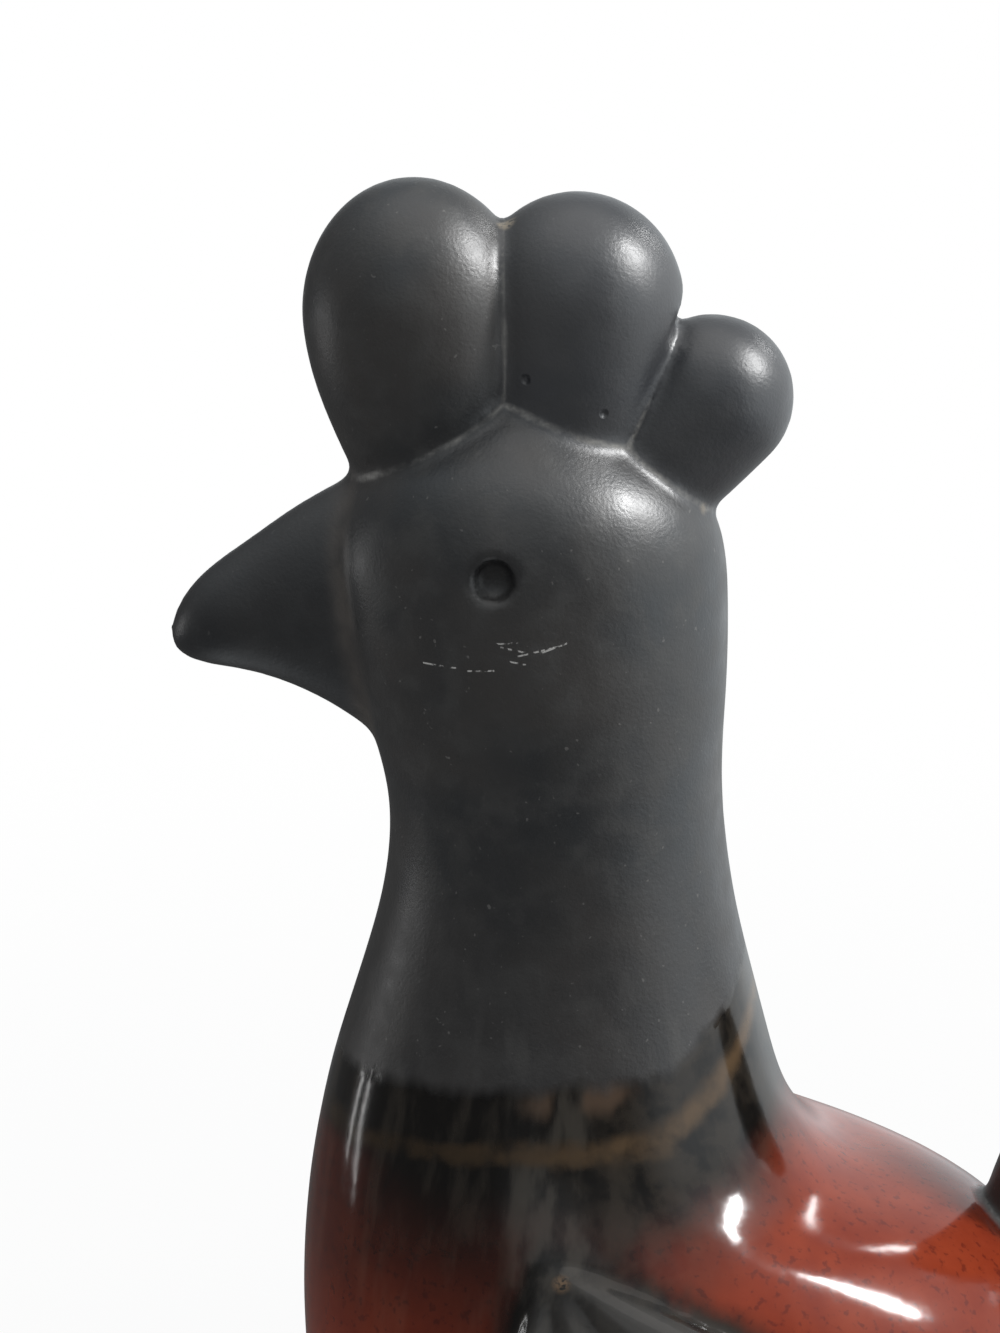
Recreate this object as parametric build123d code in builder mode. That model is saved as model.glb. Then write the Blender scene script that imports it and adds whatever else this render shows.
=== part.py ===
"""Hand-built stoneware rooster: a hollow glazed bird on a bare foot slab, with lobes of clay luted on.

Millimetres, +Z up, beak towards -X, origin at the middle of the foot on the table.
"""
import os
from dataclasses import dataclass
from math import cos, log, pi, radians, sin, sqrt

from build123d import *

os.makedirs("parts", exist_ok=True)

# Foot slab, bare clay with a ring to stand on and one vent for the kiln
FOOT_LENGTH = 72
FOOT_WIDTH = 66
FOOT_FLARE_ANGLE = 18  # degrees that the body leans outwards at the table
SLAB_THICKNESS = 5
RING_WIDTH = 8
RECESS_DEPTH = 1.5
VENT_DIAMETER = 7

# Body, from the table to its widest level, then the hip and the nape where the back meets the neck
WALL = 6
NECK_FORWARD = 21.6  # axis of the neck, ahead of the middle of the foot
BELLY_HEIGHT = 103
BELLY_WIDTH = 110
BREAST_REACH = 41.9  # ahead of the axis of the neck
BREAST_LIFT = 15  # fullest point of the breast, above the widest level
RUMP_REACH = 92.6  # behind the axis of the neck
HIP_RISE = 28
HIP_REACH = 70.6
HIP_WIDTH = 90
NAPE_RISE = 12.5
NAPE_REACH = 43.1
NAPE_WIDTH = 79

# Neck, from the nape to the collar where it is joined on, then to its waist
COLLAR_RISE = 16.5
COLLAR_LENGTH = 71
COLLAR_WIDTH = 67
COLLAR_TILT_ANGLE = 17.1  # degrees that the joint climbs towards the back
WAIST_RISE = 42
WAIST_LENGTH = 54
WAIST_WIDTH = 55

# Head, a dome above the level of the brow
BROW_RISE = 36
HEAD_FORWARD = 4.4  # middle of the head, ahead of the axis of the neck
HEAD_LENGTH = 63
HEAD_WIDTH = 56
DOME_RISE = 30.5
FOREHEAD_FULLNESS = 1.01  # above 1 bulges beyond a true oval
HEAD_BACK_FULLNESS = 0.97

# Eyes, cups pressed into the head
EYE_DIAMETER = 6.4
EYE_DEPTH = 2.7
EYE_RIM = 0.9  # width and depth of the bevel round the cup
EYE_FORWARD = 5.7  # ahead of the middle of the head
EYE_RISE = 5

# Comb, three balloons of clay on the dome
COMB_ROOT_DEPTH = 13  # root of each balloon, under the skin of the dome
FRONT_LOBE_PERCH_ANGLE = -29.7  # degrees round the dome from upright, backwards positive
FRONT_LOBE_LEAN_ANGLE = -6.5
FRONT_LOBE_ROOT_RADIUS = 12
FRONT_LOBE_RADIUS = 18
FRONT_LOBE_GIRTH_STAND = 14.5  # fullest level, above the skin of the dome
FRONT_LOBE_STAND = 36
MIDDLE_LOBE_PERCH_ANGLE = 11.8
MIDDLE_LOBE_LEAN_ANGLE = 4
MIDDLE_LOBE_ROOT_RADIUS = 13.3
MIDDLE_LOBE_RADIUS = 16.6
MIDDLE_LOBE_GIRTH_STAND = 13
MIDDLE_LOBE_STAND = 30.4
REAR_LOBE_PERCH_ANGLE = 45
REAR_LOBE_LEAN_ANGLE = 43
REAR_LOBE_ROOT_RADIUS = 11.8
REAR_LOBE_RADIUS = 12.9
REAR_LOBE_GIRTH_STAND = 9
REAR_LOBE_STAND = 21.8

# Beak, from its root inside the head to a blunt tip
BEAK_REACH = 25.6  # ahead of the brow
BEAK_ROOT_DEPTH = 10
BEAK_ROOT_HEIGHT = 48
BEAK_ROOT_WIDTH = 25
BEAK_MIDDLE_REACH = 13
BEAK_MIDDLE_HEIGHT = 21.3
BEAK_MIDDLE_WIDTH = 17
BEAK_DROP = 5.2  # middle of the root, below the brow
BEAK_TIP_DROP = 10.4
BEAK_BRIDGE_SLOPES = (-23, -36, -81)  # degrees above level, forwards, at the root, middle and tip
BEAK_CHIN_SLOPES = (45, 14, 73)

# Wings, three petals that fan out from one root on each flank
WING_FORWARD = 2.4  # root, ahead of the axis of the neck
WING_DROP = 5.5  # root, below the nape
WING_LENGTH = 60
WING_RELIEF = 5.5
PETAL_WIDTH = 13.6
PETAL_FULLNESS = 0.64  # share of the length at which a petal is widest
PETAL_ANGLES = (31, 61, 93)  # degrees below level, backwards

# Tail, three balloons of clay in a row that sweep up from the rump
TAIL_CLIMB = 11  # middle plume, along the back from the rump's furthest point
TAIL_SPACING = 13
TAIL_ROOT_DEPTH = 18
TAIL_ROOT_RADIUS = 8
TAIL_RADIUS = 13
TAIL_GIRTH_STAND = 36
TAIL_STAND = 52
TAIL_LEAN_ANGLE = 52  # degrees of the middle plume from upright
TAIL_FAN_ANGLE = 27  # degrees from one plume to the next

# Fineness of the forms: ovals drawn along each one, and how near to its tip the last of them comes
FORM_OVALS = 26
FORM_LAST_SHARE = 0.985
BEAK_OVALS = 9
BEAK_LAST_SHARE = 0.97
PETAL_OVALS = 9
PETAL_LAST_SHARE = 0.99
OVAL_CROWDING = 1.5  # above 1 draws the ovals closer together towards the tip

# Levels and axes that the sizes give
neck_x = -NECK_FORWARD
head_x = neck_x - HEAD_FORWARD
brow_x = head_x - HEAD_LENGTH / 2
hip_z = BELLY_HEIGHT + HIP_RISE
nape_z = hip_z + NAPE_RISE
collar_z = nape_z + COLLAR_RISE
waist_z = collar_z + WAIST_RISE
brow_z = waist_z + BROW_RISE
crown_z = brow_z + DOME_RISE
flare = radians(FOOT_FLARE_ANGLE)
oval_handle = 4 / 3 * (sqrt(2) - 1)  # pulls a curve round a quarter of an oval, as a share of its sides


def quarter_oval(half_length, rise, fullness=1):
    """Points a third and two thirds of the way round a quarter of an oval, from its side to its top."""
    return [
        (half_length * fullness * cos(angle), rise * fullness * sin(angle)) for angle in (pi / 6, pi / 3)
    ]


# Profile lines of the bird: breast and back in side view, flank in front view
forehead = quarter_oval(HEAD_LENGTH / 2, DOME_RISE, FOREHEAD_FULLNESS)
head_back = quarter_oval(HEAD_LENGTH / 2, DOME_RISE, HEAD_BACK_FULLNESS)
head_side = quarter_oval(HEAD_WIDTH / 2, DOME_RISE)

with BuildLine(Plane.XZ) as breast_line:
    Spline(
        (-FOOT_LENGTH / 2, 0),
        (neck_x - BREAST_REACH, BELLY_HEIGHT + BREAST_LIFT),
        (neck_x - COLLAR_LENGTH / 2, collar_z),
        (neck_x - WAIST_LENGTH / 2, waist_z),
        (brow_x, brow_z),
        *[(head_x - across, brow_z + rise) for across, rise in forehead],
        (head_x, crown_z),
        tangents=[(-sin(flare), cos(flare)), (1, 0)],
    )

with BuildLine(Plane.XZ) as back_line:
    Spline(
        (FOOT_LENGTH / 2, 0),
        (neck_x + RUMP_REACH, BELLY_HEIGHT),
        (neck_x + HIP_REACH, hip_z),
        (neck_x + NAPE_REACH, nape_z),
        (neck_x + COLLAR_LENGTH / 2, collar_z),
        (neck_x + WAIST_LENGTH / 2, waist_z),
        (head_x + HEAD_LENGTH / 2, brow_z),
        *[(head_x + across, brow_z + rise) for across, rise in head_back],
        (head_x, crown_z),
        tangents=[(sin(flare), cos(flare)), (-1, 0)],
    )

with BuildLine(Plane.YZ) as flank_line:
    Spline(
        (FOOT_WIDTH / 2, 0),
        (BELLY_WIDTH / 2, BELLY_HEIGHT),
        (HIP_WIDTH / 2, hip_z),
        (NAPE_WIDTH / 2, nape_z),
        (COLLAR_WIDTH / 2, collar_z),
        (WAIST_WIDTH / 2, waist_z),
        (HEAD_WIDTH / 2, brow_z),
        *[(across, brow_z + rise) for across, rise in head_side],
        (0, crown_z),
        tangents=[(sin(flare), cos(flare)), (-1, 0)],
    )


def oval(plane, half_length, half_width):
    """An oval face, drawn as two halves so that every one starts at its back end."""
    with BuildSketch(plane) as section:
        with BuildLine():
            EllipticalCenterArc((0, 0), half_length, half_width, 0, arc_size=180)
            EllipticalCenterArc((0, 0), half_length, half_width, 180, arc_size=180)
        make_face()
    return section.sketch


def ovals_between(first_line, second_line, side_line, count, last_share, inset=0):
    """Ovals along two facing profile lines, closer together towards the end, set in by a wall."""
    sections = []
    for step in range(count):
        share = last_share * (1 - (1 - step / (count - 1)) ** OVAL_CROWDING)
        first = first_line @ share - (first_line % share).cross(Vector(0, 1, 0)) * inset
        second = second_line @ share + (second_line % share).cross(Vector(0, 1, 0)) * inset
        half_width = (side_line @ share).Y - (side_line % share).Z * inset
        across = second - first
        plane = Plane(origin=(first + second) / 2, x_dir=across, z_dir=(-across.Z, 0, across.X))
        sections.append(oval(plane, across.length / 2, half_width))
    return sections


def bird_ovals(inset):
    """Ovals of the whole bird from the table to just short of the crown's own point."""
    return ovals_between(
        breast_line.line, back_line.line, flank_line.line, FORM_OVALS, FORM_LAST_SHARE, inset
    )


# Whole outer form and the hollow inside it, from which the pieces are cut
with BuildPart() as form:
    loft(bird_ovals(0))

with BuildPart() as hollow:
    loft(bird_ovals(WALL))

slab_top = Plane.XY.offset(SLAB_THICKNESS)
collar_plane = Plane(
    origin=(neck_x, 0, collar_z),
    z_dir=(-sin(radians(COLLAR_TILT_ANGLE)), 0, cos(radians(COLLAR_TILT_ANGLE))),
)


def on_skin(x, z, side):
    """Point and outward direction where a level line across the bird leaves its skin on one side."""
    crossings = form.part.shell().find_intersection_points(Axis((x, 0, z), (0, side, 0)))
    return max(crossings, key=lambda crossing: crossing[0].Y * side)


# Foot slab
with BuildPart() as base_slab:
    add(form.part)
    split(bisect_by=slab_top, keep=Keep.BOTTOM)
    with BuildSketch():
        Ellipse(FOOT_LENGTH / 2 - RING_WIDTH, FOOT_WIDTH / 2 - RING_WIDTH)
    extrude(amount=RECESS_DEPTH, mode=Mode.SUBTRACT)
    with Locations(slab_top):
        Hole(VENT_DIAMETER / 2)
base_slab.part.label = "base_slab"
export_step(base_slab.part, "parts/base_slab.step")

# Body shell, open to the slab below and to the neck above
with BuildPart() as body_shell:
    add(form.part)
    add(hollow.part, mode=Mode.SUBTRACT)
    split(bisect_by=slab_top, keep=Keep.TOP)
    split(bisect_by=collar_plane, keep=Keep.BOTTOM)
body_shell.part.label = "body_shell"
export_step(body_shell.part, "parts/body_shell.step")

# Neck and head shell, with the eyes pressed in: a bevelled rim round a rounded cup
eye_radius = EYE_DIAMETER / 2
eye_mouth = eye_radius + 2 * EYE_RIM  # the bevel is carried on as far above the skin as below it
upright = Vector(0, 0, 1)
with BuildPart() as neck_and_head:
    add(form.part)
    add(hollow.part, mode=Mode.SUBTRACT)
    split(bisect_by=collar_plane, keep=Keep.TOP)
    for side in (-1, 1):
        eye_point, eye_outward = on_skin(head_x - EYE_FORWARD, brow_z + EYE_RISE, side)
        with BuildSketch(Plane(origin=eye_point, x_dir=-eye_outward, z_dir=eye_outward.cross(upright))):
            with BuildLine():
                Polyline((EYE_DEPTH, 0), (-EYE_RIM, 0), (-EYE_RIM, eye_mouth), (EYE_RIM, eye_radius))
                Spline((EYE_RIM, eye_radius), (EYE_DEPTH, 0), tangents=[(1, 0), (0, -1)])
            make_face()
        revolve(axis=Axis(eye_point, eye_outward), mode=Mode.SUBTRACT)
neck_and_head.part.label = "neck_and_head"
export_step(neck_and_head.part, "parts/neck_and_head.step")


@dataclass
class Balloon:
    """A lobe of clay in the midplane: it swells from its root to its girth and closes in a round tip."""

    root: Vector
    lean: float
    root_radius: float
    girth: float
    girth_reach: float
    reach: float

    @property
    def upwards(self):
        return Vector(sin(radians(self.lean)), 0, cos(radians(self.lean)))

    @property
    def girth_centre(self):
        return self.root + self.upwards * self.girth_reach

    def solid(self):
        cap = self.reach - self.girth_reach
        with BuildPart() as lobe:
            with BuildSketch(Plane(origin=self.root, x_dir=self.upwards, z_dir=(0, -1, 0))):
                with BuildLine():
                    Polyline((self.reach, 0), (0, 0), (0, self.root_radius))
                    Spline(
                        (0, self.root_radius),
                        (self.girth_reach, self.girth),
                        tangents=[(self.girth_reach, self.girth - self.root_radius), (1, 0)],
                    )
                    Bezier(
                        (self.girth_reach, self.girth),
                        (self.girth_reach + cap * oval_handle, self.girth),
                        (self.reach, self.girth * oval_handle),
                        (self.reach, 0),
                    )
                make_face()
            revolve(axis=Axis(self.root, self.upwards))
        return lobe.part


def between_balls(first, first_radius, second, second_radius):
    """Point on the line of two balls where their skins would cross."""
    gap = second - first
    share = (gap.length**2 + first_radius**2 - second_radius**2) / (2 * gap.length**2)
    return first + gap * share


def crease(first, second):
    """Plane in which two neighbouring balloons press on each other, facing the second."""
    low = between_balls(first.root, first.root_radius, second.root, second.root_radius)
    high = between_balls(first.girth_centre, first.girth, second.girth_centre, second.girth)
    return Plane(origin=low, x_dir=high - low, z_dir=Vector(0, 1, 0).cross(high - low))


def comb_balloon(perch, lean, root_radius, girth, girth_stand, stand):
    """A balloon that stands on the dome, its root under the skin."""
    perch_point = Vector(
        head_x + HEAD_LENGTH / 2 * sin(radians(perch)), 0, brow_z + DOME_RISE * cos(radians(perch))
    )
    upwards = Vector(sin(radians(lean)), 0, cos(radians(lean)))
    return Balloon(
        perch_point - upwards * COMB_ROOT_DEPTH,
        lean,
        root_radius,
        girth,
        girth_stand + COMB_ROOT_DEPTH,
        stand + COMB_ROOT_DEPTH,
    )


# Comb, each lobe cut to the dome and flat where it presses on the next
front_balloon = comb_balloon(
    FRONT_LOBE_PERCH_ANGLE,
    FRONT_LOBE_LEAN_ANGLE,
    FRONT_LOBE_ROOT_RADIUS,
    FRONT_LOBE_RADIUS,
    FRONT_LOBE_GIRTH_STAND,
    FRONT_LOBE_STAND,
)
middle_balloon = comb_balloon(
    MIDDLE_LOBE_PERCH_ANGLE,
    MIDDLE_LOBE_LEAN_ANGLE,
    MIDDLE_LOBE_ROOT_RADIUS,
    MIDDLE_LOBE_RADIUS,
    MIDDLE_LOBE_GIRTH_STAND,
    MIDDLE_LOBE_STAND,
)
rear_balloon = comb_balloon(
    REAR_LOBE_PERCH_ANGLE,
    REAR_LOBE_LEAN_ANGLE,
    REAR_LOBE_ROOT_RADIUS,
    REAR_LOBE_RADIUS,
    REAR_LOBE_GIRTH_STAND,
    REAR_LOBE_STAND,
)
front_crease = crease(front_balloon, middle_balloon)
rear_crease = crease(middle_balloon, rear_balloon)

with BuildPart() as comb_lobe_front:
    add(front_balloon.solid())
    split(bisect_by=front_crease, keep=Keep.BOTTOM)
    add(form.part, mode=Mode.SUBTRACT)
comb_lobe_front.part.label = "comb_lobe_front"
export_step(comb_lobe_front.part, "parts/comb_lobe_front.step")

with BuildPart() as comb_lobe_middle:
    add(middle_balloon.solid())
    split(bisect_by=front_crease, keep=Keep.TOP)
    split(bisect_by=rear_crease, keep=Keep.BOTTOM)
    add(form.part, mode=Mode.SUBTRACT)
comb_lobe_middle.part.label = "comb_lobe_middle"
export_step(comb_lobe_middle.part, "parts/comb_lobe_middle.step")

with BuildPart() as comb_lobe_rear:
    add(rear_balloon.solid())
    split(bisect_by=rear_crease, keep=Keep.TOP)
    add(form.part, mode=Mode.SUBTRACT)
comb_lobe_rear.part.label = "comb_lobe_rear"
export_step(comb_lobe_rear.part, "parts/comb_lobe_rear.step")

# Beak, lofted between its upper and lower edge and cut to the head and the front lobe
beak_root_x = brow_x + BEAK_ROOT_DEPTH
beak_middle_x = brow_x - BEAK_MIDDLE_REACH
beak_tip_x = brow_x - BEAK_REACH
beak_z = brow_z - BEAK_DROP
beak_tip_z = brow_z - BEAK_TIP_DROP


def forwards(slope):
    """Direction in side view towards the beak, so many degrees above level."""
    return -cos(radians(slope)), sin(radians(slope))


with BuildLine(Plane.XZ) as beak_upper_line:
    Spline(
        (beak_root_x, beak_z + BEAK_ROOT_HEIGHT / 2),
        (beak_middle_x, beak_z + BEAK_MIDDLE_HEIGHT / 2),
        (beak_tip_x, beak_tip_z),
        tangents=[forwards(slope) for slope in BEAK_BRIDGE_SLOPES],
    )

with BuildLine(Plane.XZ) as beak_lower_line:
    Spline(
        (beak_root_x, beak_z - BEAK_ROOT_HEIGHT / 2),
        (beak_middle_x, beak_z - BEAK_MIDDLE_HEIGHT / 2),
        (beak_tip_x, beak_tip_z),
        tangents=[forwards(slope) for slope in BEAK_CHIN_SLOPES],
    )

with BuildLine() as beak_side_line:
    Spline(
        (beak_root_x, BEAK_ROOT_WIDTH / 2),
        (beak_middle_x, BEAK_MIDDLE_WIDTH / 2),
        (beak_tip_x, 0),
        tangents=[(-1, 0), (0, -1)],
    )

with BuildPart() as beak:
    loft(
        ovals_between(
            beak_lower_line.line, beak_upper_line.line, beak_side_line.line, BEAK_OVALS, BEAK_LAST_SHARE
        )
    )
    add(form.part, mode=Mode.SUBTRACT)
    add(comb_lobe_front.part, mode=Mode.SUBTRACT)
beak.part.label = "beak"
export_step(beak.part, "parts/beak.step")


wing_root_x = neck_x - WING_FORWARD
wing_root_z = nape_z - WING_DROP


def petal(angle, side):
    """A petal that lies on the flank, narrow at the wing's root and full towards its tip."""
    points = []
    for share in (0, 0.5, 1):
        reach = WING_LENGTH * share
        x = wing_root_x + reach * cos(radians(angle))
        z = wing_root_z - reach * sin(radians(angle))
        points.append(on_skin(x, z, side))
    root, middle, tip = points
    with BuildLine() as spine:
        ThreePointArc(root[0], middle[0], tip[0])
    sections = []
    for step in range(PETAL_OVALS):
        share = 0.5 - (PETAL_LAST_SHARE - 0.5) * cos(pi * step / (PETAL_OVALS - 1))
        swell = sqrt(sin(pi * share ** (log(0.5) / log(PETAL_FULLNESS))))
        along = spine.line % share
        plane = Plane(origin=spine.line @ share, x_dir=along.cross(middle[1]), z_dir=along)
        sections.append(oval(plane, PETAL_WIDTH / 2 * swell, WING_RELIEF * swell))
    with BuildPart() as leaf:
        loft(sections)
    return leaf.part


# Wings, one fan of petals on each flank
for name, side in {"wing_left": -1, "wing_right": 1}.items():
    with BuildPart() as wing:
        for petal_angle in PETAL_ANGLES:
            add(petal(petal_angle, side))
        add(form.part, mode=Mode.SUBTRACT)
    wing.part.label = name
    export_step(wing.part, f"parts/{name}.step")

# Tail, each plume cut to the rump and flat where it presses on the next
back_edge = back_line.edge()
rump_share = back_edge.param_at_point((neck_x + RUMP_REACH, 0, BELLY_HEIGHT))


def tail_balloon(place):
    """A balloon that sweeps up from the rump, its root under the skin; places count up along the back."""
    climb = TAIL_CLIMB + TAIL_SPACING * place
    lean = TAIL_LEAN_ANGLE - TAIL_FAN_ANGLE * place
    upwards = Vector(sin(radians(lean)), 0, cos(radians(lean)))
    return Balloon(
        back_edge @ (rump_share + climb / back_edge.length) - upwards * TAIL_ROOT_DEPTH,
        lean,
        TAIL_ROOT_RADIUS,
        TAIL_RADIUS,
        TAIL_GIRTH_STAND + TAIL_ROOT_DEPTH,
        TAIL_STAND + TAIL_ROOT_DEPTH,
    )


upper_crease = crease(tail_balloon(1), tail_balloon(0))
lower_crease = crease(tail_balloon(0), tail_balloon(-1))

with BuildPart() as tail_plume_upper:
    add(tail_balloon(1).solid())
    split(bisect_by=upper_crease, keep=Keep.BOTTOM)
    add(form.part, mode=Mode.SUBTRACT)
tail_plume_upper.part.label = "tail_plume_upper"
export_step(tail_plume_upper.part, "parts/tail_plume_upper.step")

with BuildPart() as tail_plume_middle:
    add(tail_balloon(0).solid())
    split(bisect_by=upper_crease, keep=Keep.TOP)
    split(bisect_by=lower_crease, keep=Keep.BOTTOM)
    add(form.part, mode=Mode.SUBTRACT)
tail_plume_middle.part.label = "tail_plume_middle"
export_step(tail_plume_middle.part, "parts/tail_plume_middle.step")

with BuildPart() as tail_plume_lower:
    add(tail_balloon(-1).solid())
    split(bisect_by=lower_crease, keep=Keep.TOP)
    add(form.part, mode=Mode.SUBTRACT)
tail_plume_lower.part.label = "tail_plume_lower"
export_step(tail_plume_lower.part, "parts/tail_plume_lower.step")
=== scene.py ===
"""Looks of the glazed stoneware rooster: one soft skin over the CAD pieces, two glazes and a bare foot."""
import math

import bmesh
import bpy
import numpy as np
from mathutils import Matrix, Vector
from mathutils.bvhtree import BVHTree


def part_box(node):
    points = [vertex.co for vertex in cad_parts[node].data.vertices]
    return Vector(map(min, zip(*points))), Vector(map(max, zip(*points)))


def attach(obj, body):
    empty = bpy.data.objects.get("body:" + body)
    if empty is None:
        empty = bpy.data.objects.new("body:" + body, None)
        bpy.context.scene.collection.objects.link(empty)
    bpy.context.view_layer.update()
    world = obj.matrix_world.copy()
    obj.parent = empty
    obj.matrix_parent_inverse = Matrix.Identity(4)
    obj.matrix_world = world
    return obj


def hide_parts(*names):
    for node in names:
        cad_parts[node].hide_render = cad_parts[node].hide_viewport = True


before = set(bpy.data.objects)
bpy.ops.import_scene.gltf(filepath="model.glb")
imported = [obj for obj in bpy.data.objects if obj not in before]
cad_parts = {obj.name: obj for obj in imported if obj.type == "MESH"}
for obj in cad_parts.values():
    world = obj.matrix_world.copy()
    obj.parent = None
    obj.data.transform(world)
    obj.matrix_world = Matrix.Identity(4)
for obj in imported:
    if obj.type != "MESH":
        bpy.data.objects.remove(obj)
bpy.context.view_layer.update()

MM = 0.001

# Photograph's frame and the camera that took it
PHOTO_HEIGHT = 1333
FOCAL_PIXELS = 3250
SENSOR = 36.0
CAMERA_DISTANCE = 0.520
CAMERA_ELEVATION = math.radians(15)
CAMERA_AIM = Vector((-0.0306, 0.0, 0.2225))

# Lamps: the spot they light, the way to the lamp, how far off it is, its width and height, and its power
LEFT_SPOT = (-0.05, -0.02, 0.155)
LEFT_PANE = (0.022, 0.36)
LAMPS = {
    "window_right": ((-0.02, 0.0, 0.25), (0.76, -0.07, 0.62), 1.1, (0.13, 0.44), 10.5),
    "window_left_near_pane": (LEFT_SPOT, (-0.95, 0.24, -0.03), 0.8, LEFT_PANE, 0.14),
    "window_left_far_pane": (LEFT_SPOT, (-0.95, 0.38, -0.03), 0.8, LEFT_PANE, 0.14),
    "window_behind": ((0.02, 0.0, 0.14), (0.60, 0.52, 0.60), 1.0, (0.05, 0.25), 0.6),
}

# Floor, and a cloth tent round the figure: its hem on the table, its foot and its top
FLOOR_RADIUS = 12.0
FLOOR_SEGMENTS = 96
FLOOR_GREY = (0.65, 0.65, 0.65)
TENT_PROFILE = ((0.045, 0, 0.002), (1.6, 0, 0.002), (1.6, 0, 3.2))
TENT_STEPS = 48
TENT_DIM = 0.10
TENT_LIGHT = 1.0
DAYLIGHT = (0.92, 0.97, 1.0)
SKYLIGHT = (0.94, 0.97, 1.0)
SKY_STRENGTH = 0.6

# Skin: voxel of the soft clay, how far the slip in the creases reaches, and the fingers' dents
VOXEL = 0.92 * MM
SLIP_PULL = 0.5
SLIP_REACH = 2.4 * MM
SLIP_ROUNDS = 8
BEAK_SLIP_REACH = 3.2 * MM
BEAK_SLIP_ROUNDS = 14
POLISH_ROUNDS = 16
POLISH_IN = 0.55
POLISH_OUT = -0.57
SEARCH_MARGIN = 12.0 * MM
PLUG_INSET = 3.0 * MM
PLUG_DEPTH = 3.0 * MM
PLUG_SEGMENTS = 64
MERGE_GAP = 1e-6
EYE_KEEP = 6.5  # in millimetres
RIM_DEPTH = 2.0 * MM
DENT_DEPTH = 0.7 * MM
DENT_WAVELENGTH = 32.0 * MM

# Pieces that share the skin
FORM_NODES = ("body_shell", "neck_and_head")
COMB_NODES = ("comb_lobe_front", "comb_lobe_middle", "comb_lobe_rear")
WING_NODES = ("wing_left", "wing_right")
TAIL_NODES = ("tail_plume_upper", "tail_plume_middle", "tail_plume_lower")
SKIN_NODES = FORM_NODES + COMB_NODES + ("beak",) + WING_NODES + TAIL_NODES

# Marks in the glaze, and the eyes whose cups get painted shade, in millimetres: scratches on the left side from end
# to end, then places and their radii
SCRATCHES = (
    ((-31.2, 233.4), (-28.0, 233.7)),
    ((-30.4, 232.9), (-26.9, 232.2)),
    ((-35.4, 228.9), (-31.6, 229.2)),
    ((-24.4, 232.1), (-20.6, 233.5)),
    ((-27.8, 231.6), (-21.8, 233.1)),
    ((-29.0, 230.7), (-26.8, 230.3)),
    ((-42.2, 229.4), (-37.4, 229.2)),
)
SCRATCH_HALF_WIDTH = 0.17
PITS = ((-26.8, -14.2, 271.4), (-14.6, -14.9, 266.1))
PIT_RADIUS = 1.0
TAN_SPOTS = ((-29.4, -3.6, 293.4), (-0.3, -7.9, 250.1), (-21.4, -44.5, 136.4))
TAN_SPOT_RADIUS = 2.2
EYES = ((-31.7, -25.0, 243.0), (-31.7, 25.0, 243.0))
EYE_SHADE_RADIUS = 5.0
RUST_PATCHES = ((-15.1, -31.9, 161.7), (-22.5, -36.0, 160.0))
RUST_RADIUS = 8.0

# Colours of the satin glaze, with the painted shade in the eyes, the painted sheen on the rear lobes and the painted
# highlight in the creases, as linear red, green and blue
BLUE_BLACK = (0.0125, 0.0155, 0.0185)
WARM_BLACK = (0.0300, 0.0265, 0.0240)
MOTTLE_GREY = (0.036, 0.035, 0.033)
NECK_BROWN = (0.022, 0.0175, 0.016)
RUN_GREY = (0.050, 0.047, 0.043)
DUST_GREY = (0.14, 0.135, 0.125)
FLECK_GREY = (0.05, 0.048, 0.045)
# Painted sheen: the middle and rear comb lobes are made lighter and bluer than the front one
LOBE_SHEEN_BLUE = (0.038, 0.042, 0.050)
LOBE_SHEEN_GREY = (0.050, 0.049, 0.049)
BEAK_BLACK = (0.0085, 0.0110, 0.0150)
ROOT_BROWN = (0.070, 0.058, 0.048)
# Pale slip in the creases, partly a painted highlight along them
SLIP_AND_HIGHLIGHT_GREY = (0.27, 0.26, 0.235)
SCRATCH_GREY = (0.40, 0.39, 0.37)
# Painted shade that darkens the inside of the eye cups
EYE_PAINTED_SHADE = (0.003, 0.003, 0.003)
TAN_IN_SATIN = (0.30, 0.25, 0.18)
SATIN_INDEX = 1.8

# Colours of the glossy glaze, with the painted reflections on the brown band and on the wing petals
DEEP_RED = (0.165, 0.016, 0.006)
CLEAR_RED = (0.310, 0.050, 0.017)
RED_FLECK = (0.070, 0.008, 0.006)
DEEP_BROWN = (0.0050, 0.0042, 0.0036)
RUN_BROWN = (0.020, 0.0165, 0.0130)
MOTTLE_BROWN = (0.030, 0.024, 0.018)
# Painted reflection: a greyish vertical streak on the glossy brown band
PAINTED_REFLECTION_GREY = (0.055, 0.049, 0.041)
# Grey on the raised wing petals: glaze worn thin there, and partly a painted reflection
PETAL_WEAR_AND_SHEEN = (0.055, 0.052, 0.048)
OCHRE_FRONT = (0.030, 0.019, 0.010)
OCHRE_BACK = (0.095, 0.060, 0.032)
RUST = (0.085, 0.055, 0.037)
TAN_IN_GLOSS = (0.15, 0.095, 0.055)
GLOSS_INDEX = 1.5

# Colours of the bare clay
DARK_CLAY = (0.20, 0.14, 0.095)
LIGHT_CLAY = (0.32, 0.24, 0.17)
IRON_SPECK = (0.09, 0.055, 0.035)
CLAY_INDEX = 1.4


def new_object(name, data):
    made = bpy.data.objects.new(name, data)
    bpy.context.scene.collection.objects.link(made)
    return made


def vertex_values(mesh, key):
    flat = np.empty(len(mesh.vertices) * 3, np.float32)
    mesh.vertices.foreach_get(key, flat)
    return flat.reshape(-1, 3).astype(float)


def edge_pairs(mesh):
    flat = np.empty(len(mesh.edges) * 2, np.int32)
    mesh.edges.foreach_get("vertices", flat)
    return flat.reshape(-1, 2)


def smooth_step(value, low, high):
    share = np.clip((value - low) / (high - low), 0, 1)
    return share * share * (3 - 2 * share)


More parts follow.
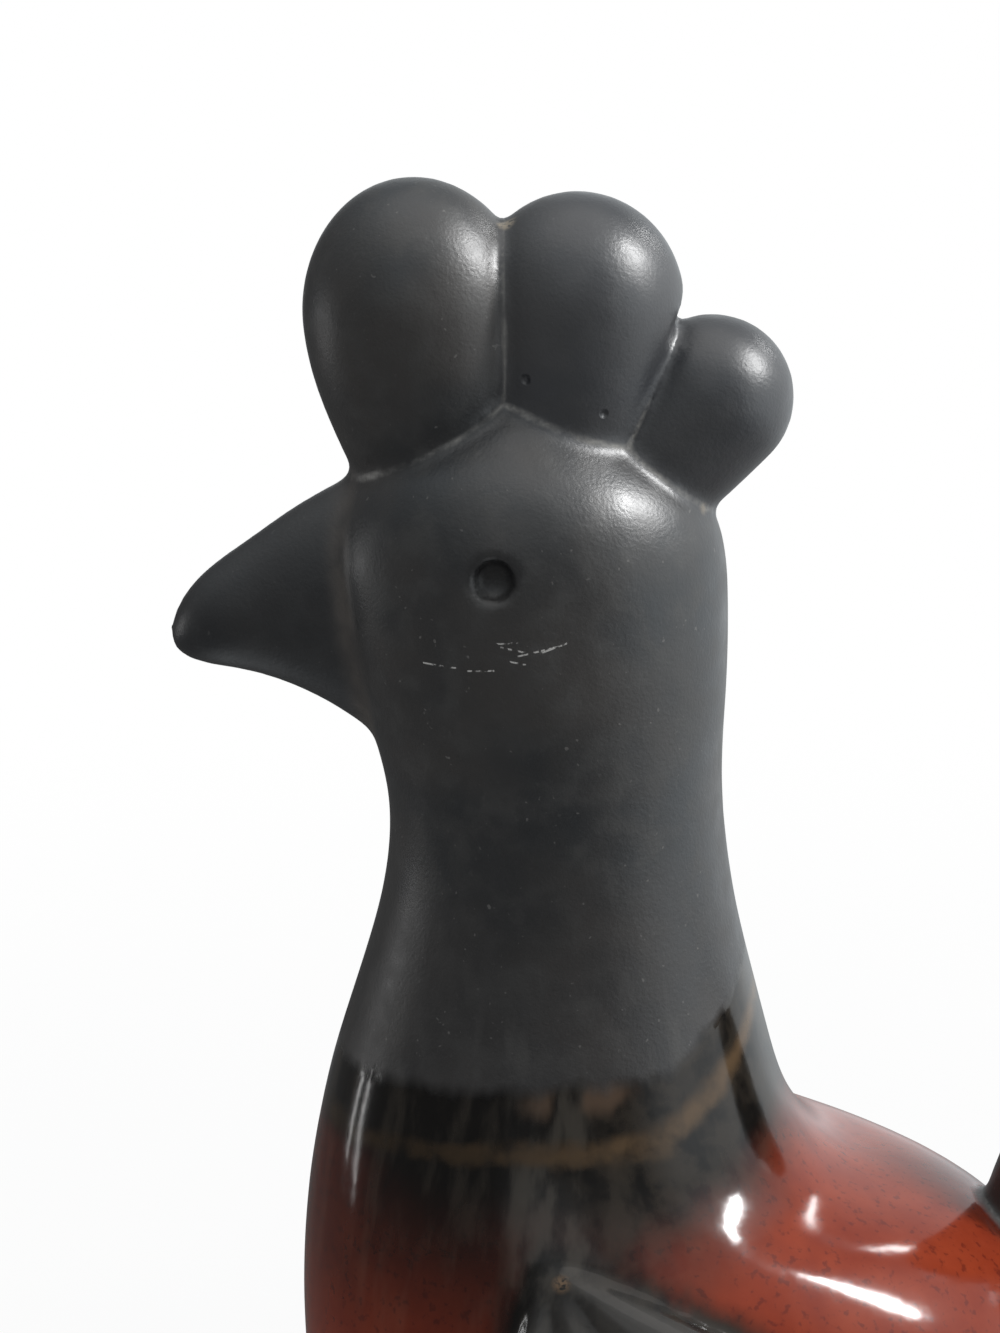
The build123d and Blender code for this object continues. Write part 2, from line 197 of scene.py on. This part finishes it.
class Value:
    """An output socket; arithmetic on it adds Math nodes."""

    def __init__(self, nodes, socket):
        self.nodes = nodes
        self.socket = socket

    def math(self, operation, first, second):
        return self.nodes.node("ShaderNodeMath", {"operation": operation}, {0: first, 1: second})

    def __add__(self, other):
        return self.math("ADD", self, other)

    def __mul__(self, other):
        return self.math("MULTIPLY", self, other)

    __radd__ = __add__
    __rmul__ = __mul__

    def __sub__(self, other):
        return self.math("SUBTRACT", self, other)

    def __rsub__(self, other):
        return self.math("SUBTRACT", other, self)

    def __truediv__(self, other):
        return self.math("DIVIDE", self, other)

    def __rtruediv__(self, other):
        return self.math("DIVIDE", other, self)

    def __abs__(self):
        return self.math("ABSOLUTE", self, 0.0)

    def highest(self, other):
        return self.math("MAXIMUM", self, other)

    def lowest(self, other):
        return self.math("MINIMUM", self, other)

    def swing(self, width):
        """A pattern between 0 and 1, made to swing about 0."""
        return (self - 0.5) * width


class Nodes:
    """A node tree, built one node at a time."""

    def __init__(self, tree):
        self.tree = tree
        tree.nodes.clear()

    def node(self, kind, settings=None, sockets=None, output=0):
        made = self.tree.nodes.new(kind)
        for key, value in (settings or {}).items():
            setattr(made, key, value)
        for key, value in (sockets or {}).items():
            socket = made.inputs[key]
            if isinstance(value, Value):
                self.tree.links.new(value.socket, socket)
            elif socket.type == "RGBA":
                socket.default_value = (*value, 1.0)
            else:
                socket.default_value = value
        return Value(self, made.outputs[output]) if made.outputs else None

    def step(self, value, low, high):
        """0 at low, 1 at high, eased between."""
        return self.node(
            "ShaderNodeMapRange",
            {"interpolation_type": "SMOOTHSTEP"},
            {"Value": value, "From Min": low, "From Max": high},
        )

    def mix(self, share, first, second):
        return self.node("ShaderNodeMix", {"data_type": "RGBA"}, {0: share, 6: first, 7: second}, output=2)

    def layered(self, colour, *layers):
        """Colours laid over each other, each with the share that it covers."""
        for share, over in layers:
            colour = self.mix(share, colour, over)
        return colour

    def vector_math(self, operation, first, second, output=0):
        return self.node("ShaderNodeVectorMath", {"operation": operation}, {0: first, 1: second}, output)

    def blend(self, share, first, second):
        return self.node("ShaderNodeMixShader", sockets={0: share, 1: first, 2: second})

    def seen_directly(self):
        """1 for what the camera sees, straight on or in a reflection or through glass."""
        camera, glossy, transmission = (
            self.node("ShaderNodeLightPath", output=f"Is {ray} Ray") for ray in ("Camera", "Glossy", "Transmission")
        )
        return camera.highest(glossy).highest(transmission)


class Finish(Nodes):
    """A material whose patterns are laid out in millimetres on the object."""

    def __init__(self, name):
        self.material = bpy.data.materials.new(name)
        self.material.use_nodes = True
        super().__init__(self.material.node_tree)
        metres = self.node("ShaderNodeTexCoord", output="Object")
        self.place = self.vector_math("DIVIDE", metres, (MM, MM, MM))
        self.x, self.y, self.z = (
            self.node("ShaderNodeSeparateXYZ", sockets={0: self.place}, output=axis) for axis in "XYZ"
        )

    def attribute(self, name):
        return self.node("ShaderNodeAttribute", {"attribute_name": name}, output="Fac")

    def within(self, name, low, high):
        """1 up to the low distance from what the attribute is measured from, 0 beyond the high one."""
        return 1 - self.step(self.attribute(name), low, high)

    def noise(self, wavelength, detail=2.0, stretch=(1.0, 1.0, 1.0)):
        place = self.vector_math("MULTIPLY", self.place, stretch)
        return self.node(
            "ShaderNodeTexNoise", sockets={"Vector": place, "Scale": 1 / wavelength, "Detail": detail}
        )

    def gap_to(self, place):
        return self.vector_math("DISTANCE", self.place, place, "Value")

    def near(self, place, radius):
        """1 at a place, 0 beyond the radius."""
        return 1 - self.step(self.gap_to(place), radius * 0.3, radius)

    def stroke(self, start, end, half_width):
        """1 on a straight stroke across the left side, from start to end in side view."""
        run = Vector(end) - Vector(start)
        along = ((self.x - start[0]) * run.x + (self.z - start[1]) * run.y) / run.length
        across = abs((self.z - start[1]) * run.x - (self.x - start[0]) * run.y) / run.length
        beyond = abs(along - run.length / 2) - run.length / 2
        left_side = self.step(self.y, 0.0, -5.0)
        return (1 - self.step(across.highest(beyond), half_width * 0.5, half_width)) * left_side

    def relief(self, height):
        """Normal of a fine relief whose height is in millimetres."""
        return self.node("ShaderNodeBump", sockets={"Height": height, "Distance": MM})

    def surface(self, colour, roughness, normal, index):
        return self.node(
            "ShaderNodeBsdfPrincipled",
            sockets={"Base Color": colour, "Roughness": roughness, "Normal": normal, "IOR": index},
        )

    def glow(self, strength, colour=(1.0, 1.0, 1.0)):
        return self.node("ShaderNodeEmission", sockets={"Color": colour, "Strength": strength})

    def close(self, shader):
        self.node("ShaderNodeOutputMaterial", sockets={"Surface": shader})
        return self.material


class Glaze(Finish):
    """Satin black above an ochre line; below it a glossy dark brown that clears to iron red."""

    def __init__(self):
        super().__init__("black_and_red_glaze")
        self.clouds = self.noise(24.0, 3.0)
        self.mottle = self.noise(5.0, 4.0)
        self.drips = self.noise(5.0, 2.0, (1.0, 1.0, 0.3))
        self.runs = self.noise(4.0, 3.0, (1.0, 1.0, 0.12))
        self.flecks = self.noise(1.3, 2.0)
        self.grain = self.noise(0.6, 2.0)
        self.above = self.z - self.line_level()
        self.edge = self.above + self.drips.swing(4.0)
        self.pitted = sum(self.near(place, PIT_RADIUS) for place in PITS)
        self.tan = sum(self.near(place, TAN_SPOT_RADIUS) for place in TAN_SPOTS) * self.step(self.grain, 0.3, 0.55)
        scratched = sum(self.stroke(start, end, SCRATCH_HALF_WIDTH) for start, end in SCRATCHES)
        self.scratched = scratched * self.step(self.noise(0.8, 3.0), 0.44, 0.58)

    def line_level(self):
        """Height of the ochre line, which climbs at the back of the neck."""
        rise = (self.x + 14.0).highest(0.0)
        climb = (rise * rise * rise * 0.00098).lowest(17.0)
        return (self.x + 25.0) * 0.07 + 154.0 + climb + self.noise(16.0).swing(4.0)

    def satin_colour(self):
        """Black with pale slip and a painted highlight in the creases, painted sheen on the rear lobes, painted
        shade in the eyes, a dark beak, specks and scratches.
        """
        broken = self.step(self.noise(9.0), 0.35, 0.65) * 0.7 + self.step(self.flecks, 0.4, 0.7) * 0.3
        # Creases get pale slip that is partly a painted highlight
        slip = self.within("crease", 0.1, 1.0) * broken
        root = self.within("beak_root", 0.4, 3.2) * (self.step(self.mottle, 0.3, 0.7) * 0.5 + 0.3)
        dust = self.step(self.noise(1.0, 1.0), 0.74, 0.79)
        # Painted shade in the eye cups
        eye_shade = sum(self.near(place, EYE_SHADE_RADIUS) for place in EYES)
        return self.layered(
            self.mix(self.step(self.clouds, 0.3, 0.7), BLUE_BLACK, WARM_BLACK),
            (self.step(self.mottle, 0.45, 0.72) * 0.6, MOTTLE_GREY),
            (self.step(self.z, 215.0, 175.0) * 0.4, NECK_BROWN),
            (self.step(self.edge, 40.0, 8.0) * self.step(self.runs, 0.5, 0.7) * 0.5, RUN_GREY),
            (dust * 0.5, DUST_GREY),
            (self.step(self.flecks, 0.66, 0.76) * 0.35, FLECK_GREY),
            # Painted sheen that lightens the middle and rear comb lobes
            (self.within("rear_lobes", 0.3, 2.5) * 0.75, self.mix(self.clouds, LOBE_SHEEN_BLUE, LOBE_SHEEN_GREY)),
            (self.within("beak", 0.3, 2.5) * 0.6, BEAK_BLACK),
            (root, ROOT_BROWN),
            (slip * 0.9, SLIP_AND_HIGHLIGHT_GREY),
            (self.scratched, SCRATCH_GREY),
            (eye_shade * 0.8, EYE_PAINTED_SHADE),
            (self.tan, TAN_IN_SATIN),
        )

    def cleared(self):
        """1 where the brown has cleared: on the back, the breast and the lower body, well below the line."""
        blotch = self.clouds.swing(14.0)
        back = self.step((self.x + 22.0) * 0.49 - (self.z - 134.0) * 0.87 + blotch, -2.0, 17.0)
        breast = self.step((self.x + 46.0) * -0.9 - (self.z - 130.0) * 0.25 + blotch, -6.0, 16.0) * 0.35
        belly = self.step(self.z + blotch, 149.0, 97.0)
        return back.highest(breast).highest(belly) * self.step(self.above, 0.0, -6.0)

    def brown_colour(self):
        across = self.x + self.drips.swing(9.0)
        # Painted reflection of a window, as a grey vertical streak across the brown band
        reflection_streak = self.step(across, -31.0, -27.0) * self.step(across, -14.0, -19.0) * self.step(self.runs, 0.38, 0.62)
        return self.layered(
            self.mix(self.step(self.runs, 0.45, 0.70), DEEP_BROWN, RUN_BROWN),
            (self.step(self.x, -26.0, -8.0) * self.step(self.mottle, 0.35, 0.6) * 0.7, MOTTLE_BROWN),
            (reflection_streak * 0.55, PAINTED_REFLECTION_GREY),
        )

    def red_colour(self):
        red = self.mix(self.noise(7.0, 4.0), DEEP_RED, CLEAR_RED)
        return self.mix(self.step(self.flecks, 0.56, 0.70) * 0.5, red, RED_FLECK)

    def ochre(self):
        """1 on the frayed line, which widens where it climbs."""
        frayed = (self.above + self.mottle.swing(4.0)) / (self.step(self.x, -16.0, 2.0) * 0.7 + 1.0)
        line = self.step(frayed, -3.4, -1.0) * (1 - self.step(frayed, -0.8, 1.6))
        return line * (self.step(self.noise(6.0, 4.0), 0.3, 0.6) * 0.75 + 0.2)

    def rust(self, place):
        return self.step(self.edge, 3.5, 7.0) * self.near(place, RUST_RADIUS) * self.step(self.drips, 0.42, 0.58)

    def gloss_colour(self):
        """Brown and red with dark wings, grey on their petals that is partly worn glaze and partly painted
        reflection, and the ochre line.
        """
        halo = 1 - self.step(self.attribute("wing") + self.drips.swing(6.0), 0.5, 7.0)
        # Raised petals get grey that is partly worn glaze and partly painted reflection
        worn_and_sheen = self.step(self.attribute("relief"), 0.8, 3.5) * halo
        return self.layered(
            self.mix(self.cleared() * (1 - halo), self.brown_colour(), self.red_colour()),
            (worn_and_sheen * 0.8, PETAL_WEAR_AND_SHEEN),
            (self.ochre(), self.mix(self.step(self.x, -50.0, 10.0), OCHRE_FRONT, OCHRE_BACK)),
            *((self.rust(place) * 0.8, RUST) for place in RUST_PATCHES),
            (self.tan, TAN_IN_GLOSS),
        )

    def finished(self):
        satin = self.step(self.edge, 7.0, 10.0).highest(self.within("tail", 0.5, 2.5))
        raised = satin * 0.12 + self.grain * satin * 0.046 + self.mottle * satin * 0.05 + self.noise(4.0) * 0.03
        normal = self.relief(raised - self.pitted * 0.5 - self.scratched * 0.03)
        satin_roughness = 0.41 + (self.clouds + self.mottle - 1.0) * 0.30
        satin_surface = self.surface(self.satin_colour(), satin_roughness, normal, SATIN_INDEX)
        gloss_surface = self.surface(self.gloss_colour(), 0.09 + self.flecks * 0.06, normal, GLOSS_INDEX)
        return self.close(self.blend(satin, gloss_surface, satin_surface))


def clay_finish():
    """Bare fired clay with fine grit and iron specks."""
    clay = Finish("bare_stoneware")
    grit = clay.noise(1.2, 4.0)
    colour = clay.mix(clay.noise(15.0, 3.0), DARK_CLAY, LIGHT_CLAY)
    colour = clay.mix(clay.step(grit, 0.62, 0.72), colour, IRON_SPECK)
    return clay.close(clay.surface(colour, 0.8 + grit * 0.1, clay.relief(grit * 0.15), CLAY_INDEX))


def filled_lump():
    """All the glazed pieces as one lump, with a plug that closes the open foot of the hollow body."""
    lump = bmesh.new()
    for node in SKIN_NODES:
        lump.from_mesh(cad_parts[node].data)
    low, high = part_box("base_slab")
    half = (high - low) / 2
    plug = bmesh.ops.create_cone(
        lump, cap_ends=True, segments=PLUG_SEGMENTS, radius1=1, radius2=1, depth=PLUG_DEPTH
    )
    for vert in plug["verts"]:
        vert.co.x *= half.x - PLUG_INSET
        vert.co.y *= half.y - PLUG_INSET
        vert.co.z += high.z + PLUG_DEPTH / 2
    bmesh.ops.remove_doubles(lump, verts=lump.verts, dist=MERGE_GAP)
    mesh = bpy.data.meshes.new("lump")
    lump.to_mesh(mesh)
    lump.free()
    return mesh


def converted(worker):
    """Mesh of an object with its modifiers applied; the object goes."""
    evaluated = worker.evaluated_get(bpy.context.evaluated_depsgraph_get())
    mesh = bpy.data.meshes.new_from_object(evaluated)
    bpy.data.objects.remove(worker)
    return mesh


def outer_skin(mesh):
    """The lump remeshed in even faces, without the surface of the hollow inside."""
    worker = new_object("lump", mesh)
    remesh = worker.modifiers.new("even_faces", "REMESH")
    remesh.mode = "VOXEL"
    remesh.voxel_size = VOXEL
    skin = converted(worker)
    work = bmesh.new()
    work.from_mesh(skin)
    top = max(work.verts, key=lambda vert: vert.co.z)
    outer = {top}
    front = [top]
    while front:
        vert = front.pop()
        for edge in vert.link_edges:
            other = edge.other_vert(vert)
            if other not in outer:
                outer.add(other)
                front.append(other)
    bmesh.ops.delete(work, geom=[vert for vert in work.verts if vert not in outer], context="VERTS")
    work.to_mesh(skin)
    work.free()
    return skin


def nearest_distances(places):
    """Distance of each place from each glazed CAD piece; far pieces count as twice the margin."""
    columns = {}
    for node in SKIN_NODES:
        low, high = (np.array(corner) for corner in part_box(node))
        close = np.all((places > low - SEARCH_MARGIN) & (places < high + SEARCH_MARGIN), axis=1)
        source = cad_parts[node].data
        tree = BVHTree.FromPolygons(
            [vert.co for vert in source.vertices], [face.vertices for face in source.polygons]
        )
        column = np.full(len(places), SEARCH_MARGIN * 2)
        for index in np.flatnonzero(close):
            column[index] = tree.find_nearest(Vector(places[index]))[3]
        columns[node] = column
    return columns


def relax(places, pairs, weight, rounds=1):
    """Each point moves towards the middle of its neighbours, by its weight."""
    first, second = pairs.T
    count = len(places)
    degree = np.bincount(pairs.ravel(), minlength=count)
    for _ in range(rounds):
        for axis in range(3):
            values = places[:, axis]
            total = np.bincount(first, values[second], count) + np.bincount(second, values[first], count)
            places[:, axis] = values + weight * (total / degree - values)
    return places


def dented(skin, glaze):
    """The skin with the shallow dents that fingers leave in soft clay."""
    tree = bpy.data.node_groups.new("finger_dents", "GeometryNodeTree")
    inputs = {}
    for name, kind in (("Clay", "Geometry"), ("Depth", "Float"), ("Wavelength", "Float")):
        inputs[name] = tree.interface.new_socket(name, in_out="INPUT", socket_type="NodeSocket" + kind)
    tree.interface.new_socket("Clay", in_out="OUTPUT", socket_type="NodeSocketGeometry")
    dents = Nodes(tree)
    clay, depth, wavelength = (dents.node("NodeGroupInput", output=name) for name in inputs)
    place = dents.node("GeometryNodeInputPosition")
    wave = dents.node("ShaderNodeTexNoise", sockets={"Vector": place, "Scale": 1 / wavelength, "Detail": 1.0})
    push = dents.node(
        "ShaderNodeVectorMath",
        {"operation": "SCALE"},
        {0: dents.node("GeometryNodeInputNormal"), "Scale": wave.swing(depth)},
    )
    clay = dents.node("GeometryNodeSetPosition", sockets={"Geometry": clay, "Offset": push})
    clay = dents.node("GeometryNodeRealizeInstances", sockets={"Geometry": clay})
    clay = dents.node("GeometryNodeSetMaterial", sockets={"Geometry": clay, "Material": glaze})
    dents.node("NodeGroupOutput", sockets={"Clay": clay})
    worker = new_object("skin", skin)
    modifier = worker.modifiers.new("finger_dents", "NODES")
    modifier.node_group = tree
    modifier[inputs["Depth"].identifier] = DENT_DEPTH
    modifier[inputs["Wavelength"].identifier] = DENT_WAVELENGTH
    return converted(worker)


def shaped_skin(glaze):
    """Skin with slip-filled creases; for each point its piece, and what the glaze has to know, in millimetres."""
    skin = outer_skin(filled_lump())
    places = vertex_values(skin, "co")
    pairs = edge_pairs(skin)
    distances = nearest_distances(places)

    def closest(nodes):
        return np.min([distances[node] for node in nodes], axis=0)

    form = closest(FORM_NODES)
    head = np.minimum(form, distances["beak"])
    added = [distances[node] for node in COMB_NODES + WING_NODES + TAIL_NODES]
    crease = np.sort([head, *added], axis=0)[1]
    beak_root = np.maximum(form, distances["beak"])
    eye = np.min([np.linalg.norm(places / MM - place, axis=1) for place in EYES], axis=0)
    away_from_eye = smooth_step(eye, EYE_KEEP * 0.7, EYE_KEEP)
    slip = 1 - smooth_step(crease, SLIP_REACH * 0.2, SLIP_REACH)
    beak_slip = 1 - smooth_step(beak_root, BEAK_SLIP_REACH * 0.2, BEAK_SLIP_REACH)
    places = relax(places, pairs, SLIP_PULL * slip, SLIP_ROUNDS)
    places = relax(places, pairs, SLIP_PULL * beak_slip, BEAK_SLIP_ROUNDS)
    for _ in range(POLISH_ROUNDS):
        places = relax(places, pairs, POLISH_IN * away_from_eye)
        places = relax(places, pairs, POLISH_OUT * away_from_eye)
    skin.vertices.foreach_set("co", places.astype(np.float32).ravel())
    skin.update()
    hints = {
        "crease": crease / MM,
        "wing": closest(WING_NODES) / MM,
        "tail": closest(TAIL_NODES) / MM,
        "relief": form / MM,
        "beak": distances["beak"] / MM,
        "beak_root": beak_root / MM,
        "rear_lobes": closest(COMB_NODES[1:]) / MM,
    }
    return dented(skin, glaze), np.argmin([distances[node] for node in SKIN_NODES], axis=0), hints


def closed_piece(name, faces, places, normals, hints):
    """Mesh of one piece of the skin, closed under its rim and shaded as the whole skin is."""
    used = sorted({vertex for face in faces for vertex in face})
    work = bmesh.new()
    layers = {hint: work.verts.layers.float.new(hint) for hint in hints}
    made = {vertex: work.verts.new(places[vertex]) for vertex in used}
    for hint, layer in layers.items():
        for vertex in used:
            made[vertex][layer] = hints[hint][vertex]
    for face in faces:
        work.faces.new([made[vertex] for vertex in face]).smooth = True

    # The rim turns inwards under the skin and is closed there
    outside = {vert: vertex for vertex, vert in made.items()}
    rims = [edge.link_loops[0] for edge in work.edges if edge.is_boundary]
    inner = {}
    for loop in rims:
        vertex = outside[loop.vert]
        inner[loop.vert] = work.verts.new(places[vertex] - normals[vertex] * RIM_DEPTH)
    for loop in rims:
        first, second = loop.vert, loop.link_loop_next.vert
        work.faces.new((second, first, inner[first], inner[second]))
    opening = [edge for edge in work.edges if edge.is_boundary]
    closed = bmesh.ops.holes_fill(work, edges=opening, sides=0)["faces"]
    bmesh.ops.triangulate(work, faces=closed)
    work.verts.index_update()
    mesh = bpy.data.meshes.new(name)
    work.to_mesh(mesh)
    work.free()
    shading = []
    for face in mesh.polygons:
        for vertex in face.vertices:
            shading.append(normals[used[vertex]] if face.use_smooth else face.normal)
    mesh.normals_split_custom_set(shading)
    return mesh


def split_skin(glaze):
    """Cuts the skin into one closed piece for each CAD piece."""
    skin, piece_of, hints = shaped_skin(glaze)
    places = vertex_values(skin, "co")
    normals = vertex_values(skin, "normal")
    corners = [tuple(face.vertices) for face in skin.polygons]
    face_piece = np.array([np.bincount(piece_of[list(face)]).argmax() for face in corners])
    for number, node in enumerate(SKIN_NODES):
        faces = [corners[index] for index in np.flatnonzero(face_piece == number)]
        mesh = closed_piece(node + "_skin", faces, places, normals, hints)
        mesh.materials.append(glaze)
        piece = new_object(node + "_skin", mesh)
        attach(piece, "root")
        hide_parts(node)


def bare_foot():
    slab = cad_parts["base_slab"]
    slab.data.materials.clear()
    slab.data.materials.append(clay_finish())


def face_along(made, place, backwards):
    """Puts a camera or lamp at a place, turned so that it looks away from the backward direction."""
    made.location = place
    made.rotation_euler = (-backwards).to_track_quat("-Z", "Y").to_euler()


def add_camera():
    data = bpy.data.cameras.new("photo_camera")
    data.sensor_fit = "VERTICAL"
    data.sensor_height = SENSOR
    data.sensor_width = SENSOR
    data.lens = FOCAL_PIXELS * SENSOR / PHOTO_HEIGHT
    camera = new_object("photo_camera", data)
    backwards = Vector((0, -math.cos(CAMERA_ELEVATION), math.sin(CAMERA_ELEVATION)))
    face_along(camera, CAMERA_AIM + backwards * CAMERA_DISTANCE, backwards)
    bpy.context.scene.camera = camera


def add_lamp(name, target, direction, distance, size, power):
    data = bpy.data.lights.new(name, "AREA")
    data.shape = "ELLIPSE"
    data.size, data.size_y = size
    data.energy = power
    backwards = Vector(direction).normalized()
    face_along(new_object(name, data), Vector(target) + backwards * distance, backwards)


def add_floor():
    mesh = bpy.data.meshes.new("floor")
    work = bmesh.new()
    bmesh.ops.create_circle(work, cap_ends=True, segments=FLOOR_SEGMENTS, radius=FLOOR_RADIUS)
    work.to_mesh(mesh)
    work.free()
    paint = Finish("pale_floor")
    gap = paint.gap_to((0.0, 0.0, 0.0))
    whiteness = paint.step(gap, 60.0, 300.0) * 0.12 + paint.step(gap, 200.0, 800.0) * 0.08 + 0.80
    share = paint.seen_directly() * whiteness
    matt = paint.node("ShaderNodeBsdfDiffuse", sockets={"Color": FLOOR_GREY})
    mesh.materials.append(paint.close(paint.blend(share, matt, paint.glow(1.0))))
    new_object("floor", mesh)


def cloth_finish():
    """Cloth that is dim on the left, and light on the right, above, at the foot and in two windows."""
    cloth = Finish("grey_cloth")
    low = 1 - cloth.step(cloth.z, 300.0, 1800.0) * 0.7
    right = cloth.step(cloth.x * 0.85 + cloth.y * 0.5, 0.0, 800.0) * low
    high = cloth.step(cloth.z, 200.0, 2600.0) * 0.5
    foot = 1 - cloth.step(cloth.gap_to((0.0, 0.0, 0.0)), 45.0, 200.0)
    side_window = cloth.near((1590.0, -150.0, 1500.0), 1500.0)
    front_window = cloth.near((-420.0, -1480.0, 1150.0), 900.0) * 0.42
    share = right.highest(high).highest(foot).highest(side_window).highest(front_window)
    return cloth.close(cloth.blend(share, cloth.glow(TENT_DIM), cloth.glow(TENT_LIGHT, DAYLIGHT)))


def add_tent():
    """The cloth round the figure, which only the glaze mirrors."""
    mesh = bpy.data.meshes.new("cloth_tent")
    work = bmesh.new()
    profile = [work.verts.new(place) for place in TENT_PROFILE]
    edges = [work.edges.new(pair) for pair in zip(profile, profile[1:])]
    bmesh.ops.spin(work, geom=profile + edges, axis=(0, 0, 1), angle=math.tau, steps=TENT_STEPS, use_merge=True)
    work.to_mesh(mesh)
    work.free()
    mesh.materials.append(cloth_finish())
    tent = new_object("cloth_tent", mesh)
    tent.visible_camera = False
    tent.visible_diffuse = False
    tent.visible_shadow = False


def add_world():
    world = bpy.data.worlds.new("studio")
    bpy.context.scene.world = world
    world.use_nodes = True
    sky = Nodes(world.node_tree)
    ambient = sky.node("ShaderNodeBackground", sockets={"Color": SKYLIGHT, "Strength": SKY_STRENGTH})
    white = sky.node("ShaderNodeBackground", sockets={"Color": (1.0, 1.0, 1.0), "Strength": 1.0})
    sky.node("ShaderNodeOutputWorld", sockets={"Surface": sky.blend(sky.seen_directly(), ambient, white)})


add_camera()
add_floor()
add_tent()
add_world()
for lamp, setting in LAMPS.items():
    add_lamp(lamp, *setting)
bpy.context.scene.view_settings.view_transform = "Standard"

split_skin(Glaze().finished())
bare_foot()
